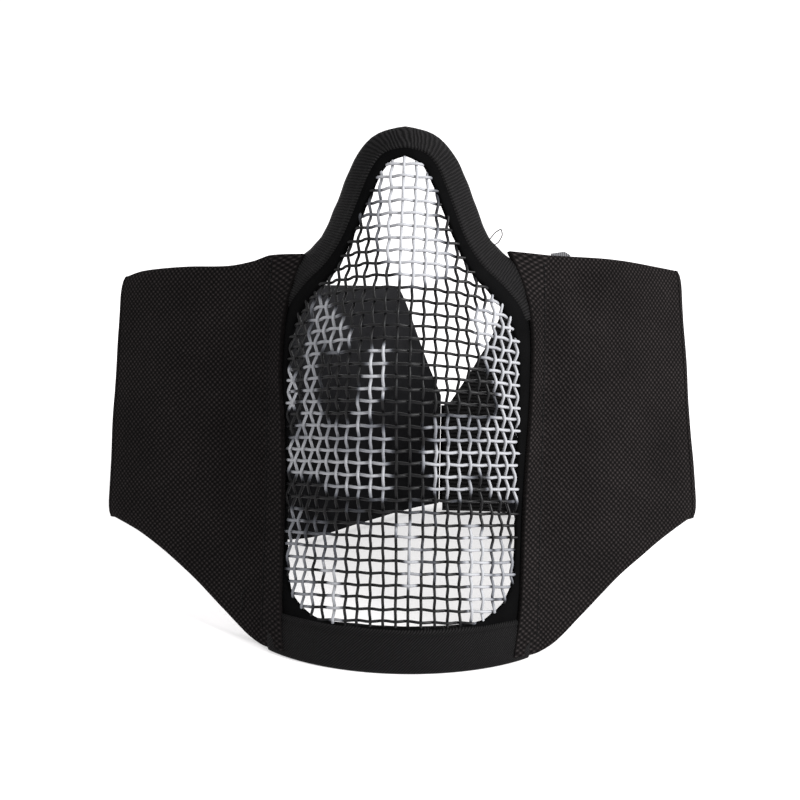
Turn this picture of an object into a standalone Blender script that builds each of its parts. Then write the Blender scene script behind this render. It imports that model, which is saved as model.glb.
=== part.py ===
"""Lower-face mask: woven wire face panel, taped edges and padded fabric wings joined behind.

The mask is drawn in its own worn frame (x across, y from face to nape, z up the face) and then
leans back to rest on its chin and on the strap's lower edge, with the face towards -Y.
"""
import math

import bmesh
import bpy
import numpy as np
from mathutils import Vector

MM = 0.001

# Driving dimensions, in millimetres in the worn frame.
LEAN_DEG = 16.0              # how far the mask leans back at rest
DEPTH_SHIFT = -80.54         # brings the middle of the mask's depth over the origin
GAP = 0.3                    # clearance between neighbouring pieces

PANEL_HALF = 0.8             # half the thickness of the woven panel with its crimps
TAPE_WALL = 0.8              # one side of the folded edge tape
SLOT_EASE = 0.7              # clearance between the tape's walls and the panel
TAPE_WIDTH = 6.6             # visible width of the nose tape
CHIN_WIDTH = 16.0            # height of the chin tape before its foot is cut level
FACING_WIDTH = 2.6           # matt facing between tape and wire
FACING_THICK = 0.8
HEM_THICK = 1.6
HEM_OVER = 0.9               # the hem follows the panel this far past its edge before it turns

SHELL_THICK = 1.0            # outer woven nylon of a wing
FOAM_THICK = 3.0
LINING_THICK = 0.8
FOAM_INSET = 5.0             # the foam stops short of the sewn edges

HINGE_X = 46.0               # stitch line where the wing starts to flex
HINGE_Y = 22.0
CREASE_X = 99.0              # side crease of the wing
CREASE_Y = 52.0
MITRE = 1.4                  # inner layers stop short of the crease by this share of their depth
REAR_Y = 141.3               # outer face of the closure behind the head
LAP_EASE = 0.5               # the elastic lies this much further in than the tab over it
PEEL_RISE = 0.9              # the tab turns on a line this far outside the flat of the closure
STRAP_GUSSET = 0.9           # rise of the elastic's top edge towards the right wing
HEM_TOP = 134.6
STRAP_LOW, STRAP_HIGH = 40.0, 81.4
CLOSURE_X = 6.0              # where the left wing ends and the closure tab starts
TAB_END_X = 27.0
RIGHT_END_X = 31.0           # where the right wing ends and the elastic starts

# Face panel: crest line, reference half-width and how far its sides fall back, by height.
CREST = [(-6, 1), (0, 0), (25, -4.5), (50, -8), (72, -14), (95, -20), (115, -18), (140, -10),
         (160, -4), (172, 0), (180, 3)]
WIDTH = [(-6, 41.5), (60, 41.5), (100, 41.5), (118, 39.5), (134.6, 32.8), (150, 21.5),
         (162, 16.5), (172, 13.5), (180, 13)]
SIDE_DEPTH = [(-6, 13), (8, 14), (30, 17.5), (62, 21), (100, 21), (120, 20.5),
              (134.6, 18), (150, 11), (162, 7.5), (172, 5), (180, 7)]
# Half outline of the arch over the nose, from the wing's top edge to the crown.
ARCH = [(33.8, 131.5), (30.9, 135.0), (27.3, 138.7), (23.6, 143.8), (19.0, 153.0), (16.4, 159.2),
        (13.4, 165.3), (8.9, 170.3), (0.0, 173.4)]
# Wings in plan, x outwards: from the stitch line to the side crease, then to the closure behind.
WING_CHEEK = [(HINGE_X, HINGE_Y), (62, 28.5), (79, 37), (92, 46), (CREASE_X, CREASE_Y)]
WING_EAR_RIGHT = [(CREASE_X, CREASE_Y), (85, 72), (68, 96), (52, 118), (41, 132),
                  (30, REAR_Y - 1.8), (22, REAR_Y - LAP_EASE), (14, REAR_Y - LAP_EASE),
                  (6, REAR_Y - LAP_EASE)]
WING_EAR_LEFT = [(CREASE_X, CREASE_Y), (80, 70), (57, 91), (32, 113), (12, 131), (3, 138.3),
                 (-6, REAR_Y), (-16, REAR_Y), (-27, REAR_Y)]
# Wing edges against distance along the wing from the stitch line.
WING_TOP = [(0, 134.6), (30, 134), (62, 130), (110, 127), (190, 126)]
CHEEK_BOTTOM = [(0, 8.1), (6, 9.8), (15, 17.0), (28, 27.5), (42, 37.0), (54, 41.8), (66, 42.5)]
EAR_DROP = 0.27              # fall of the lower edge behind the crease, until it meets the rest

COLLECTION = "camo_face_mask"
BLACK_NYLON = ("black_nylon", (0.016, 0.016, 0.018), 0.85, 0.0)
BLACK_TAPE = ("black_tape", (0.02, 0.02, 0.021), 0.7, 0.0)
MATT_FACING = ("matt_facing", (0.008, 0.008, 0.008), 0.95, 0.0)
WIRE_PAINT = ("wire_paint", (0.33, 0.34, 0.37), 0.45, 0.3)
FOAM = ("foam", (0.05, 0.05, 0.055), 0.95, 0.0)
LINING = ("lining", (0.03, 0.03, 0.032), 0.9, 0.0)
ELASTIC = ("elastic", (0.03, 0.03, 0.03), 0.8, 0.0)
HOOK_LOOP = ("hook_loop", (0.012, 0.012, 0.012), 1.0, 0.0)
WEBBING = ("webbing", (0.2, 0.2, 0.21), 0.7, 0.0)


def smooth_value(points, x):
    """Smooth curve through the points (Catmull-Rom in y over x)."""
    xs = [p[0] for p in points]
    ys = [p[1] for p in points]
    if x <= xs[0]:
        return ys[0]
    if x >= xs[-1]:
        return ys[-1]
    i = max(k for k in range(len(xs) - 1) if xs[k] <= x)
    span = xs[i + 1] - xs[i]
    t = (x - xs[i]) / span

    def slope(k):
        a, b = max(k - 1, 0), min(k + 1, len(xs) - 1)
        return (ys[b] - ys[a]) / (xs[b] - xs[a])

    h00 = 2 * t ** 3 - 3 * t ** 2 + 1
    h10 = t ** 3 - 2 * t ** 2 + t
    return (h00 * ys[i] + h10 * span * slope(i)
            + (1 - h00) * ys[i + 1] + (t ** 3 - t ** 2) * span * slope(i + 1))


def smooth_path(points, steps):
    """Points on a Catmull-Rom curve through the given plan or outline points."""
    pts = [np.array(p, float) for p in points]
    pts = [2 * pts[0] - pts[1]] + pts + [2 * pts[-1] - pts[-2]]
    path = []
    for a, b, c, d in zip(pts, pts[1:], pts[2:], pts[3:]):
        for k in range(steps):
            t = k / steps
            path.append(0.5 * (2 * b + (c - a) * t + (2 * a - 5 * b + 4 * c - d) * t ** 2
                               + (3 * b - a - 3 * c + d) * t ** 3))
    path.append(pts[-2])
    return np.array(path)


def face_point(x, z, out=0.0):
    """A point on the face panel's middle surface, moved out along its normal."""
    def depth(px, pz):
        t = abs(px) / smooth_value(WIDTH, pz)
        round_part = (1 - math.sqrt(max(0.0, 1 - (0.88 * min(t, 1.1)) ** 2))) / 0.525
        nose = min(max((pz - 95.0) / 35.0, 0.0), 1.0)
        section = (1 - nose) * (0.45 * round_part + 0.55 * t * t) + nose * t ** 1.5
        crest = smooth_value(CREST, pz)
        return crest + (smooth_value(SIDE_DEPTH, pz) - crest) * section

    step = 0.4
    dx = (depth(x + step, z) - depth(x - step, z)) / (2 * step)
    dz = (depth(x, z + step) - depth(x, z - step)) / (2 * step)
    normal = Vector((dx, -1.0, dz)).normalized()
    return Vector((x, depth(x, z), z)) + normal * out


def rest_height(y):
    """Height in the worn frame of the surface below at a given depth."""
    return math.tan(math.radians(LEAN_DEG)) * y


class Wing:
    """Plan curve of one wing by distance from its stitch line; side is 1 right, -1 left."""

    def __init__(self, side):
        self.side = side
        cheek = smooth_path(WING_CHEEK, 16)
        ear = smooth_path(WING_EAR_RIGHT if side > 0 else WING_EAR_LEFT, 16)
        self.path = np.concatenate([cheek, ear[1:]])
        steps = np.hypot(*np.diff(self.path, axis=0).T)
        self.length = np.concatenate([[0.0], np.cumsum(steps)])
        self.crease = float(self.length[len(cheek) - 1])

    def plan(self, s):
        x = float(np.interp(s, self.length, self.path[:, 0]))
        y = float(np.interp(s, self.length, self.path[:, 1]))
        return x, y

    def reach(self, x):
        """Distance at which the part behind the crease comes to the given x."""
        behind = self.length > self.crease
        xs = self.path[behind, 0][::-1]
        return float(np.interp(x, xs, self.length[behind][::-1]))

    def bottom(self, s):
        """Lower edge: up over the jaw, then down behind the crease to lie on the surface below."""
        if s <= self.crease:
            return smooth_value(CHEEK_BOTTOM, s)
        fall = smooth_value(CHEEK_BOTTOM, self.crease) - EAR_DROP * (s - self.crease)
        rest = rest_height(self.plan(s)[1]) + 0.4
        return 0.5 * (fall + rest + math.hypot(fall - rest, 3.0))

    def point(self, s, inward, z):
        x, y = self.plan(s)
        first, last = (0.0, self.crease) if s <= self.crease else (self.crease, self.length[-1])
        ax, ay = self.plan(max(s - 0.6, first))
        bx, by = self.plan(min(s + 0.6, last))
        run = math.hypot(bx - ax, by - ay)
        nx, ny = -(by - ay) / run, (bx - ax) / run
        return Vector((self.side * (x + nx * inward), y + ny * inward, z))


WINGS = {"left": Wing(-1), "right": Wing(1)}


def fresh_scene():
    for item in list(bpy.data.objects):
        bpy.data.objects.remove(item)


def make_collection(name):
    group = bpy.data.collections.new(name)
    bpy.context.scene.collection.children.link(group)
    return group


def make_material(spec):
    name, colour, roughness, metallic = spec
    material = bpy.data.materials.get(name)
    if material is None:
        material = bpy.data.materials.new(name)
        material.use_nodes = True
        shader = material.node_tree.nodes["Principled BSDF"]
        shader.inputs["Base Color"].default_value = (*colour, 1.0)
        shader.inputs["Roughness"].default_value = roughness
        shader.inputs["Metallic"].default_value = metallic
    return material


def make_empty(name, location, parent=None):
    empty = bpy.data.objects.new(name, None)
    empty.empty_display_size = 0.02
    empty.location = [value * MM for value in location]
    empty.parent = parent
    parts.objects.link(empty)
    return empty


def make_object(name, points, faces, spec, pivot):
    """An object whose mesh is in metres relative to its pivot empty."""
    origin = PIVOTS[pivot]
    mesh = bpy.data.meshes.new(name)
    mesh.from_pydata([(Vector(p) - Vector(origin)) * MM for p in points], [], faces)
    mesh.materials.append(make_material(spec))
    bm = bmesh.new()
    bm.from_mesh(mesh)
    bmesh.ops.recalc_face_normals(bm, faces=bm.faces)
    bm.to_mesh(mesh)
    bm.free()
    mesh.shade_smooth()
    mesh.set_sharp_from_angle(angle=math.radians(35))
    obj = bpy.data.objects.new(name, mesh)
    obj.parent = pivots[pivot]
    parts.objects.link(obj)
    return obj


def loft(name, rings, spec, pivot):
    """Closed solid through rings of equal point count, capped at both ends."""
    count = len(rings[0])
    points = [p for ring in rings for p in ring]
    faces = []
    for r in range(len(rings) - 1):
        for k in range(count):
            n = (k + 1) % count
            faces.append((r * count + k, r * count + n, (r + 1) * count + n, (r + 1) * count + k))
    faces.append(tuple(range(count))[::-1])
    last = (len(rings) - 1) * count
    faces.append(tuple(range(last, last + count)))
    return make_object(name, points, faces, spec, pivot)


def slab(name, point, columns, rows, spec, pivot):
    """Closed sheet between point(i, j, 0) and point(i, j, 1) over a grid of columns and rows."""
    points = [point(i, j, k) for k in (0, 1) for j in range(rows + 1) for i in range(columns + 1)]
    wide = columns + 1
    layer = wide * (rows + 1)
    faces = []
    for j in range(rows):
        for i in range(columns):
            a = j * wide + i
            faces.append((a, a + 1, a + wide + 1, a + wide))
            faces.append((layer + a, layer + a + wide, layer + a + wide + 1, layer + a + 1))
    border = [(i, 0) for i in range(columns)] + [(columns, j) for j in range(rows)]
    border += [(i, rows) for i in range(columns, 0, -1)] + [(0, j) for j in range(rows, 0, -1)]
    ring = [j * wide + i for i, j in border]
    for a, b in zip(ring, ring[1:] + ring[:1]):
        faces.append((a, layer + a, layer + b, b))
    return make_object(name, points, faces, spec, pivot)


def cut_level(obj):
    """Cut the foot of a piece level with the surface that the mask stands on."""
    cut = obj.modifiers.new("level_foot", "BOOLEAN")
    cut.operation = "DIFFERENCE"
    cut.solver = "EXACT"
    cut.object = floor_cutter


def arch_path(start, end):
    """Outline points of the nose arch from one fraction of its length to another."""
    half = smooth_path(ARCH, 8)
    outline = np.concatenate([half, half[-2::-1] * (-1, 1)])
    length = np.concatenate([[0], np.cumsum(np.hypot(*np.diff(outline, axis=0).T))])
    count = 36
    at = np.linspace(start, end, count) * length[-1]
    return np.column_stack([np.interp(at, length, outline[:, 0]),
                            np.interp(at, length, outline[:, 1])])


def swept_strip(name, outline, profile, spec):
    """A strip that follows the face along an outline; profile holds (inward, out) pairs."""
    rings = []
    for k, (x, z) in enumerate(outline):
        ahead = outline[min(k + 1, len(outline) - 1)]
        back = outline[max(k - 1, 0)]
        run = math.hypot(ahead[0] - back[0], ahead[1] - back[1])
        ix, iz = (back[1] - ahead[1]) / run, (ahead[0] - back[0]) / run
        rings.append([face_point(x + ix * d, z + iz * d, out) for d, out in profile])
    return loft(name, rings, spec, "face")


def tape_profile(width, turn):
    """Tape folded round the wire edge: a slot for the panel between two walls."""
    slot = PANEL_HALF + SLOT_EASE
    wall = slot + TAPE_WALL
    across = [turn + (width - turn) * f for f in (0.0, 0.33, 0.66, 1.0)]
    outer = [(0.0, wall)] + [(d, wall) for d in across[1:]]
    outer_back = [(d, slot) for d in reversed(across)]
    inner = [(d, -slot) for d in across]
    inner_back = [(d, -wall) for d in reversed(across[1:])] + [(0.0, -wall)]
    return outer + outer_back + inner + inner_back


def facing_profile(start, width):
    low = PANEL_HALF + GAP
    across = [start + width * f for f in (0.0, 0.5, 1.0)]
    return [(d, low + FACING_THICK) for d in across] + [(d, low) for d in reversed(across)]


def floor_height(x):
    """Height in the worn frame at which the face panel meets the surface below."""
    z = 3.0
    for _ in range(6):
        z = rest_height(face_point(x, z).y)
    return z


def chin_path(half, below):
    xs = np.linspace(-half, half, 31)
    return np.array([(x, floor_height(x) - below) for x in xs])


def panel_half_width(z):
    """Half-width of the wire panel, which ends inside the folded tape and hems."""
    arch = smooth_path(ARCH, 8)
    if z > arch[0, 1]:
        return max(float(np.interp(z, arch[:, 1], arch[:, 0])) - 2.6, 4.0)
    return smooth_value(WIDTH, z) - 0.2


def build_mesh_panel():
    columns, rows = 24, 34
    top = 169.5

    def point(i, j, k):
        u = 2 * i / columns - 1
        v = j / rows
        z = top * v
        foot = floor_height(u * panel_half_width(8.0)) + 1.6
        z = foot + (top - foot) * v
        x = u * panel_half_width(z)
        return face_point(x, z, PANEL_HALF * (1 - 2 * k))

    slab("wire_mesh_panel", point, columns, rows, WIRE_PAINT, "face")


def build_edge_tapes():
    swept_strip("nose_tape", arch_path(0.055, 0.945), tape_profile(TAPE_WIDTH, 1.3), BLACK_TAPE)
    chin = swept_strip("chin_tape", chin_path(37.4, 2.0), tape_profile(CHIN_WIDTH, 3.2),
                       BLACK_TAPE)
    cut_level(chin)


def side_outline(side):
    zs = np.linspace(24.0, 124.0, 26)
    outline = [(side * (smooth_value(WIDTH, z) - 2.3), z) for z in zs]
    return outline if side > 0 else outline[::-1]


def build_facings():
    nose = facing_profile(TAPE_WIDTH + 2.5 * GAP, FACING_WIDTH)
    swept_strip("nose_facing", arch_path(0.09, 0.91), nose, MATT_FACING)
    chin = facing_profile(CHIN_WIDTH + 2.5 * GAP, FACING_WIDTH)
    swept_strip("chin_facing", chin_path(34.0, 2.0), chin, MATT_FACING)
    for name, side in (("left", -1), ("right", 1)):
        swept_strip(f"{name}_side_facing", side_outline(side), facing_profile(GAP, 2.6),
                    MATT_FACING)


def build_hem(name, wing):
    """The wing's folded front edge, sewn over the edge of the wire panel."""
    columns, rows = 5, 22
    low = PANEL_HALF + GAP
    foot = [rest_height(y) + 0.6 for y in (face_point(WIDTH[0][1] - 2.0, 4.0).y,
                                           HINGE_Y + HEM_THICK)]

    def point(i, j, k):
        bottom = foot[0] + (foot[1] - foot[0]) * i / columns
        z = bottom + (HEM_TOP - bottom) * j / rows
        fold_x = smooth_value(WIDTH, z) - 2.0
        fold = face_point(fold_x, z, low + HEM_THICK * (1 - k))
        fold.x *= wing.side
        hinge = wing.point(0.0, HEM_THICK * k, z)
        if i == 0:
            return fold
        over = face_point(smooth_value(WIDTH, z) + HEM_OVER, z, low + HEM_THICK * (1 - k))
        over.x *= wing.side
        return over.lerp(hinge, (i - 1) / (columns - 1))

    slab(f"{name}_front_hem", point, columns, rows, BLACK_NYLON, "face")


def wing_layer(name, wing, start, end, inward, thick, inset, spec, pivot, columns):
    """One layer of a wing; start and end give its limits for a depth and a height."""
    rows = 6

    def point(i, j, k):
        depth = inward + thick * k
        first, last = start(depth) + inset, end(depth, 0.0) - inset
        s = first + (last - first) * i / columns
        low = wing.bottom(s) + inset
        high = smooth_value(WING_TOP, s) - inset
        z = low + (high - low) * j / rows
        s = first + (end(depth, z) - inset - first) * i / columns
        return wing.point(s, depth, z)

    slab(name, point, columns, rows, spec, pivot)


def build_wing(name, wing):
    layers = (("shell", 0.0, SHELL_THICK, 0.0, BLACK_NYLON),
              ("foam", SHELL_THICK + GAP, FOAM_THICK, FOAM_INSET, FOAM),
              ("lining", SHELL_THICK + FOAM_THICK + 2 * GAP, LINING_THICK, 0.0, LINING))
    if wing.side > 0:
        low_end, high_end = wing.reach(RIGHT_END_X), wing.reach(RIGHT_END_X + 8.0)
    else:
        low_end, high_end = wing.reach(-CLOSURE_X), wing.reach(13.0)

    def cheek_start(depth):
        return GAP

    def cheek_end(depth, z):
        return wing.crease - GAP - MITRE * depth

    def ear_start(depth):
        return wing.crease + GAP + MITRE * depth

    def ear_end(depth, z):
        cut = min(max((z - STRAP_HIGH - 3.0) / (126.0 - STRAP_HIGH - 3.0), 0.0), 1.0)
        return low_end + (high_end - low_end) * cut

    for part, inward, thick, inset, spec in layers:
        wing_layer(f"{name}_cheek_{part}", wing, cheek_start, cheek_end, inward, thick, inset,
                   spec, f"{name}_cheek", 8)
        wing_layer(f"{name}_ear_{part}", wing, ear_start, ear_end, inward, thick, inset, spec,
                   f"{name}_ear", 28)


def strap_layer(name, wing, x_start, x_end, low, high, inward, thick, spec, pivot, gusset=0.0):
    """A flat strip of strap or patch along the wing's plan; gusset raises its starting corner."""
    columns = 8
    s0, s1 = wing.reach(x_start * wing.side), wing.reach(x_end * wing.side)

    def point(i, j, k):
        s = s0 + (s1 - s0) * i / columns
        top = high + gusset * (1 - i / columns) * abs(x_end - x_start)
        return wing.point(s, inward + thick * k, (low, top)[j])

    return slab(name, point, columns, 1, spec, pivot)


def build_closure():
    """Elastic from the right wing, held by a hook-and-loop tab from the left wing."""
    left, right = WINGS["left"], WINGS["right"]
    tab_thick, patch = 1.2, 0.9
    hook_at = tab_thick + GAP
    loop_at = hook_at + patch + GAP
    strap_at = loop_at + patch + GAP
    elastic = strap_layer("elastic_strap", right, RIGHT_END_X - GAP, CLOSURE_X + 2.0, STRAP_LOW - 1,
                          STRAP_HIGH, strap_at, 1.5, ELASTIC, "right_ear", STRAP_GUSSET)
    cut_level(elastic)
    strap_layer("loop_patch", right, TAB_END_X, CLOSURE_X + 3.0, STRAP_LOW + 6, STRAP_HIGH - 4,
                loop_at, patch, HOOK_LOOP, "right_ear")
    strap_layer("closure_tab", left, CLOSURE_X + 2 * GAP, TAB_END_X, STRAP_LOW + 3,
                STRAP_HIGH - 1, 0.0, tab_thick, WEBBING, "closure")
    strap_layer("hook_patch", left, CLOSURE_X + 4.0, TAB_END_X - 1.0, STRAP_LOW + 6,
                STRAP_HIGH - 4, hook_at, patch, HOOK_LOOP, "closure")


def build_top_tab():
    """Short end of webbing sewn inside the right wing, just proud of its top edge."""
    wing = WINGS["right"]
    inward = SHELL_THICK + FOAM_THICK + LINING_THICK + 3 * GAP

    def point(i, j, k):
        return wing.point(4.0 + 7.0 * i, inward + 1.2 * k, 122.0 + (HEM_TOP + 1.6 - 122.0) * j)

    slab("top_webbing_tab", point, 1, 1, WEBBING, "right_cheek")


fresh_scene()
parts = make_collection(COLLECTION)
cutters = make_collection("cutters")

lean = make_empty("lean", (0, DEPTH_SHIFT, 0))
lean.rotation_euler = (-math.radians(LEAN_DEG), 0, 0)
PIVOTS = {"face": (0, 0, 0), "closure": (CLOSURE_X + GAP, REAR_Y + PEEL_RISE, STRAP_LOW)}
for wing_name, wing_plan in WINGS.items():
    PIVOTS[f"{wing_name}_cheek"] = (wing_plan.side * HINGE_X, HINGE_Y, HEM_TOP / 2)
    PIVOTS[f"{wing_name}_ear"] = (wing_plan.side * CREASE_X, CREASE_Y, HEM_TOP / 2)
pivots = {key: make_empty(f"pivot_{key}", place, lean) for key, place in PIVOTS.items()}

bpy.ops.mesh.primitive_cube_add(size=0.6, location=(0, 0, -0.3))
floor_cutter = bpy.context.object
floor_cutter.name = "floor_cutter"
for group in list(floor_cutter.users_collection):
    group.objects.unlink(floor_cutter)
cutters.objects.link(floor_cutter)
floor_cutter.hide_render = True
floor_cutter.display_type = "WIRE"

build_mesh_panel()
build_edge_tapes()
build_facings()
for wing_name, wing_plan in WINGS.items():
    build_hem(wing_name, wing_plan)
    build_wing(wing_name, wing_plan)
build_closure()
build_top_tab()
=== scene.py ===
"""Lower-face mask with a woven wire panel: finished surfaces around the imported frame."""
import math

import bmesh
import bpy
import numpy as np
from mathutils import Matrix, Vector, noise

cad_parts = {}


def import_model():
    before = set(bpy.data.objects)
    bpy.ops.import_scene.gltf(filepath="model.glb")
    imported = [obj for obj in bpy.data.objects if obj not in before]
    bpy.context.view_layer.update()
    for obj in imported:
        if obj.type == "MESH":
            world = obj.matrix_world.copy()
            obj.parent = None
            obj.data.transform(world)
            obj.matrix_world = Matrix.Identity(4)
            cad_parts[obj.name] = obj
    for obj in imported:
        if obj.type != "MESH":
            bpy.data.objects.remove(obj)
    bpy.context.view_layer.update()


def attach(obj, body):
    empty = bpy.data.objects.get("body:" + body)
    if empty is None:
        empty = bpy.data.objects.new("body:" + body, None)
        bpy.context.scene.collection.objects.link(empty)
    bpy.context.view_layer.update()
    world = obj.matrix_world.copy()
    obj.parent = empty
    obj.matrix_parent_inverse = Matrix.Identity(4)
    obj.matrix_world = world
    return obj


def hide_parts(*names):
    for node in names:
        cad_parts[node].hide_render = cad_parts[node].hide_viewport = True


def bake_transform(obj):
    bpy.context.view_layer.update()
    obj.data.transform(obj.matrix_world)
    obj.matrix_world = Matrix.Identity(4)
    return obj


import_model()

# All lengths below are millimetres in the worn frame: x across, y to the nape, z up the face.
MM = 0.001
LEAN = math.radians(16.0)
DEPTH_SHIFT = -80.54

# Face panel, as the frame has it.
CREST = [(-6, 1), (0, 0), (25, -4.5), (50, -8), (72, -14), (95, -20), (115, -18), (140, -10),
         (160, -4), (172, 0), (180, 3)]
WIDTH = [(-6, 41.5), (60, 41.5), (100, 41.5), (118, 39.5), (134.6, 32.8), (150, 21.5),
         (162, 16.5), (172, 13.5), (180, 13)]
SIDE_DEPTH = [(-6, 13), (8, 14), (30, 17.5), (62, 21), (100, 21), (120, 20.5),
              (134.6, 18), (150, 11), (162, 7.5), (172, 5), (180, 7)]
# Wings in plan, as the frame has them.
HINGE_X, HINGE_Y = 46.0, 22.0
CREASE_X, CREASE_Y = 99.0, 52.0
REAR_Y, LAP_EASE = 141.3, 0.5
STRAP_LOW, STRAP_HIGH = 40.0, 81.4
STRAP_RISE = 41.0            # the elastic's upper edge climbs this much to the right wing
CLOSURE_X, TAB_END_X, RIGHT_END_X = 6.0, 27.0, 31.0
WING_CHEEK = [(HINGE_X, HINGE_Y), (62, 28.5), (79, 37), (92, 46), (CREASE_X, CREASE_Y)]
WING_EAR_RIGHT = [(CREASE_X, CREASE_Y), (85, 72), (68, 96), (52, 118), (41, 132),
                  (30, REAR_Y - 1.8), (22, REAR_Y - LAP_EASE), (14, REAR_Y - LAP_EASE),
                  (6, REAR_Y - LAP_EASE)]
WING_EAR_LEFT = [(CREASE_X, CREASE_Y), (80, 70), (57, 91), (32, 113), (12, 131), (3, 138.3),
                 (-6, REAR_Y), (-16, REAR_Y), (-27, REAR_Y)]
# Wing edges by distance from the stitch line: the sewn cloth differs a little left to right.
HEM_WIDTH = 6.0
WING_TOP = {
    1: [(-HEM_WIDTH, 135.0), (0, 134.8), (30, 134.0), (62, 131), (110, 127), (190, 126)],
    -1: [(-HEM_WIDTH, 133.0), (0, 133.2), (7, 131.2), (16, 129.7), (32, 129.4), (50, 128.0),
         (62, 125.6), (110, 125), (200, 126)]}
WING_BOTTOM = {
    1: [(-HEM_WIDTH, 4.2), (0, 5.0), (6, 8.0), (15, 16.3), (28, 28.5), (42, 38.5), (54, 45.3),
        (61.5, 47.2), (85, 40), (110, 34.2), (128, 32.9), (143, 35.0), (160, 39.0), (180, 41.2)],
    -1: [(-HEM_WIDTH, 4.2), (0, 5.0), (6, 8.0), (15, 15.8), (28, 27.3), (42, 36.6), (54, 41.6),
         (61.5, 42.6), (85, 38), (110, 33), (137, 31.4), (160, 35.6), (180, 39.4), (200, 42.5)]}
FOOT_FORWARD = 5.8           # how far the cloth's lower front corner is drawn to the chin
# Cloth asymmetry: how far each wing's crease stands out beyond the frame's, low and high.
FLARE = {1: (1.2, -6.5), -1: (7.3, 2.9)}

# Half outline of the opening in which the wire shows, from the chin up to the nose (x, z).
OPENING = [(0, 14.6), (14, 14.7), (24, 15.6), (30.5, 18.6), (35.2, 24), (37.0, 32), (37.4, 48),
           (37.3, 75), (37.2, 98), (36.0, 108), (33.0, 114.9), (28.4, 121.2), (22.0, 127.8),
           (17.4, 135.9), (14.4, 143.2), (10.6, 152.2), (8.3, 157.5), (5.1, 162.3), (0, 164.4)]
# Half outline of the nose tape's inner edge, from under the hem to the crown.
TAPE_INNER = [(38.5, 113), (36, 118), (31.0, 123.8), (24.4, 129.9), (19.5, 136.9), (15.8, 145.4),
              (12.4, 154.5), (9.4, 161.1), (5.8, 165.2), (0, 166.6)]
TAPE_WIDTH = 6.4

# Woven wire.
WIRE_RADIUS = 0.49
WIRE_PITCH_ACROSS = 4.15
WIRE_PITCH_UP = 3.93
CRIMP = 0.56
FIRST_WIRE = 12.6
WIRE_ROWS = 40
WIRE_COLUMNS = 15            # on each side of the middle wire

# Light paint on the dark wire: soft strokes from (x, z) to (x, z) with a radius and a strength.
PAINT = [
    (0, 163, 1, 138, 8.5, 0.95), (2, 140, 6, 131, 8, 0.9), (-9, 146, -5, 140, 5, 0.5),
    (33, 124, 36, 60, 5.0, 0.95), (27, 112, 34, 96, 4.5, 0.85), (30, 78, 32, 60, 4.5, 0.9),
    (-25, 114, -20, 106, 4.5, 0.85), (-27, 110, -28, 84, 2.8, 0.8), (-28, 84, -24, 66, 4, 0.85),
    (-37, 94, -37, 85, 2.5, 0.9), (-5, 102, -7, 90, 3.2, 0.95), (-8, 90, -12, 80, 3.2, 0.85),
    (-28, 76, -6, 74, 5.5, 0.75), (-32, 68, -8, 64, 6, 0.9), (-20, 60, -4, 60, 3.2, 0.75),
    (14, 79, 28, 78, 4.5, 0.7), (14, 68, 30, 70, 6, 0.9), (12, 62, 20, 60, 3.5, 0.8),
    (-35, 46, -30, 22, 4.5, 0.7), (-26, 44, -20, 36, 4, 0.45), (-22, 34, -19, 18, 2.4, 0.9),
    (2, 47, 5, 30, 2.6, 0.85), (8, 40, 12, 32, 2.2, 0.4), (24, 44, 27, 20, 4.2, 0.95),
    (33, 40, 34, 26, 3, 0.75), (-14, 52, -10, 48, 2.5, 0.3), (6, 52, 12, 50, 2.5, 0.35),
]


# ---------------------------------------------------------------- camera
def world(p):
    """Worn-frame millimetres to the frame's metres: leaned back, middle over the origin."""
    y = p[1] * math.cos(LEAN) + p[2] * math.sin(LEAN) + DEPTH_SHIFT
    z = -p[1] * math.sin(LEAN) + p[2] * math.cos(LEAN)
    return Vector((p[0], y, z)) * MM


LENS = 90
VIEW_ANGLES = (4.0, 18.0)    # degrees round to the right of the face, and up
VIEW_DISTANCE = 0.612
VIEW_TARGET = (0.0016, DEPTH_SHIFT * MM, 0.0915)


def make_camera():
    data = bpy.data.cameras.new("camera")
    camera = bpy.data.objects.new("camera", data)
    bpy.context.scene.collection.objects.link(camera)
    data.lens = LENS
    data.sensor_width = 36
    data.clip_start = 0.01
    azimuth, elevation = (math.radians(degrees) for degrees in VIEW_ANGLES)
    away = Vector((math.sin(azimuth) * math.cos(elevation),
                   -math.cos(azimuth) * math.cos(elevation), math.sin(elevation)))
    camera.location = Vector(VIEW_TARGET) + away * VIEW_DISTANCE
    camera.rotation_euler = (-away).to_track_quat("-Z", "Y").to_euler()
    bpy.context.scene.camera = camera


make_camera()


# ---------------------------------------------------------------- shapes
def smooth_value(points, x):
    """Smooth curve through the points (Catmull-Rom in y over x)."""
    xs = [p[0] for p in points]
    ys = [p[1] for p in points]
    if x <= xs[0]:
        return ys[0]
    if x >= xs[-1]:
        return ys[-1]
    i = max(k for k in range(len(xs) - 1) if xs[k] <= x)
    span = xs[i + 1] - xs[i]
    t = (x - xs[i]) / span

    def slope(k):
        a, b = max(k - 1, 0), min(k + 1, len(xs) - 1)
        return (ys[b] - ys[a]) / (xs[b] - xs[a])

    h00 = 2 * t ** 3 - 3 * t ** 2 + 1
    h10 = t ** 3 - 2 * t ** 2 + t
    return (h00 * ys[i] + h10 * span * slope(i)
            + (1 - h00) * ys[i + 1] + (t ** 3 - t ** 2) * span * slope(i + 1))


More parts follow.
